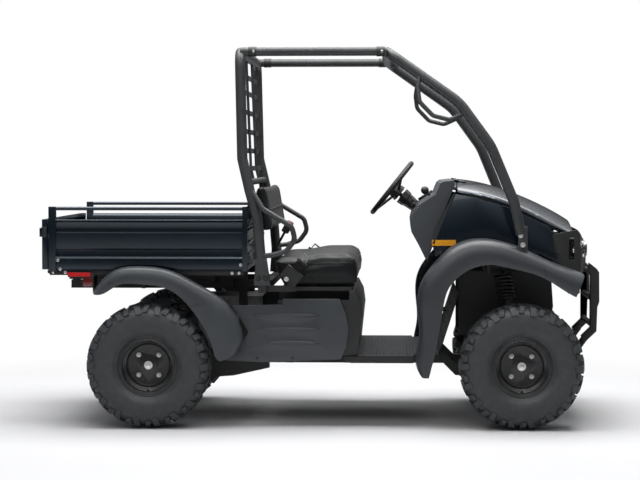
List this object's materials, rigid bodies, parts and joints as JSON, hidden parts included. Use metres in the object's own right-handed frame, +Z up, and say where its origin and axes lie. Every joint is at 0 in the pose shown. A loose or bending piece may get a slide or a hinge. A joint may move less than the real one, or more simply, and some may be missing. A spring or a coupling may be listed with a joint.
{
  "type": "side by side utility vehicle with a tipping cargo bed",
  "caption": "Two seat utility vehicle with open roll over frame, bench seat, steered front wheels, lifting hood and tipping cargo bed with a drop down tailgate.",
  "frame": {"origin": "on the ground under the middle of the overall length and width", "axes": "+X forward, +Y to the vehicle's left, +Z up"},
  "size_m": [2.71, 1.335, 1.8259],
  "materials": {
    "navy_paint": "gloss",
    "black_steel": "satin",
    "grey_plastic": "matt",
    "black_plastic": "matt",
    "vinyl": "satin",
    "tyre": "matt",
    "rim_black": "satin",
    "grip": "matt",
    "cast": "satin",
    "steel": "satin",
    "lamp": "gloss",
    "red_lens": "gloss",
    "amber_lens": "gloss",
    "webbing": "matt"
  },
  "bodies": {
    "chassis": {"main_frame": "black_steel", "rear_subframe": "black_steel", "front_subframe": "black_steel", "dash_frame": "black_steel", "radiator": "cast", "inner_panels": "black_plastic", "floorboard": "black_steel", "seat_pedestal": "black_plastic", "side_covers": "grey_plastic", "engine_block": "cast", "front_fenders": "grey_plastic", "rear_fenders": "grey_plastic", "cowl_sides": "navy_paint", "dashboard": "black_plastic", "grille_surround": "black_plastic", "headlamps": "lamp", "brush_guard": "black_steel", "rear_hoop": "black_steel", "front_hoop": "black_steel", "roof_tubes": "black_steel", "rear_screen": "black_steel", "hip_guards": "black_steel", "seat_cushion": "vinyl", "seat_back": "vinyl", "seat_frame": "black_steel", "seat_belts": "webbing", "steering_column": "steel", "front_arms": "black_steel", "front_drive": "cast", "rear_axle": "black_steel", "rear_shocks": "black_steel", "tail_lamps": "red_lens", "reflectors": "red_lens", "side_markers": "amber_lens", "control_levers": "black_plastic"},
    "cargo_bed": {"bed_floor": "navy_paint", "bed_sides": "navy_paint", "bed_subframe": "black_steel"},
    "tailgate": {"tailgate": "navy_paint"},
    "hood": {"hood_lid": "navy_paint"},
    "steering_wheel": {"steering_wheel": "grip"},
    "lower_shaft": {"lower_steering_shaft": "steel"},
    "steering_rack": {"tie_rods": "steel"},
    "knuckle_left": {"knuckle_left": "black_steel", "front_strut_left": "black_steel"},
    "knuckle_right": {"knuckle_right": "black_steel", "front_strut_right": "black_steel"},
    "wheel_front_left": {"rim_front_left": "rim_black", "tyre_front_left": "tyre"},
    "wheel_front_right": {"rim_front_right": "rim_black", "tyre_front_right": "tyre"},
    "wheel_rear_left": {"rim_rear_left": "rim_black", "tyre_rear_left": "tyre"},
    "wheel_rear_right": {"rim_rear_right": "rim_black", "tyre_rear_right": "tyre"}
  },
  "joints": [
    {"name": "steer_left", "type": "hinge", "parent": "chassis", "child": "knuckle_left", "pos_m": [0.968, 0.465, 0.215], "axis": [-0.1765, -0.1746, 0.9687], "range_deg": [-28, 28]},
    {"name": "steer_right", "type": "hinge", "parent": "chassis", "child": "knuckle_right", "pos_m": [0.968, -0.465, 0.215], "axis": [-0.1765, 0.1746, 0.9687], "range_deg": [-28, 28]},
    {"name": "steering_wheel_turn", "type": "hinge", "parent": "chassis", "child": "steering_wheel", "pos_m": [0.334, 0.28, 1.14], "axis": [-0.7826, 0, 0.6225], "range_deg": [-420, 420]},
    {"name": "lower_shaft_turn", "type": "hinge", "parent": "chassis", "child": "lower_shaft", "pos_m": [0.845, 0.09, 0.3993], "axis": [-0.3858, 0.3179, 0.8661], "range_deg": [-420, 420]},
    {"name": "rack_slide", "type": "slide", "parent": "chassis", "child": "steering_rack", "axis": [0, 1, 0], "range_m": [-0.05, 0.05]},
    {"name": "front_left_wheel_spin", "type": "hinge", "parent": "knuckle_left", "child": "wheel_front_left", "pos_m": [0.955, 0.5525, 0.3], "axis": [0, 1, 0], "continuous": true},
    {"name": "front_right_wheel_spin", "type": "hinge", "parent": "knuckle_right", "child": "wheel_front_right", "pos_m": [0.955, -0.5525, 0.3], "axis": [0, 1, 0], "continuous": true},
    {"name": "rear_left_wheel_spin", "type": "hinge", "parent": "chassis", "child": "wheel_rear_left", "pos_m": [-0.83, 0.5525, 0.3], "axis": [0, 1, 0], "continuous": true},
    {"name": "rear_right_wheel_spin", "type": "hinge", "parent": "chassis", "child": "wheel_rear_right", "pos_m": [-0.83, -0.5525, 0.3], "axis": [0, 1, 0], "continuous": true},
    {"name": "bed_tilt", "type": "hinge", "parent": "chassis", "child": "cargo_bed", "pos_m": [-1.23, 0, 0.714], "axis": [0, -1, 0], "range_deg": [0, 45]},
    {"name": "tailgate_open", "type": "hinge", "parent": "cargo_bed", "child": "tailgate", "pos_m": [-1.325, 0, 0.742], "axis": [0, -1, 0], "range_deg": [0, 90]},
    {"name": "hood_open", "type": "hinge", "parent": "chassis", "child": "hood", "pos_m": [1.22, 0, 0.938], "axis": [0, 1, 0], "range_deg": [0, 60]}
  ],
  "couplings": [
    {"joint": "steer_right", "follows": "steer_left", "ratio": 1},
    {"joint": "steering_wheel_turn", "follows": "steer_left", "ratio": 15},
    {"joint": "lower_shaft_turn", "follows": "steer_left", "ratio": 15},
    {"joint": "rack_slide", "follows": "steer_left", "m_per_rad": -0.098}
  ]
}
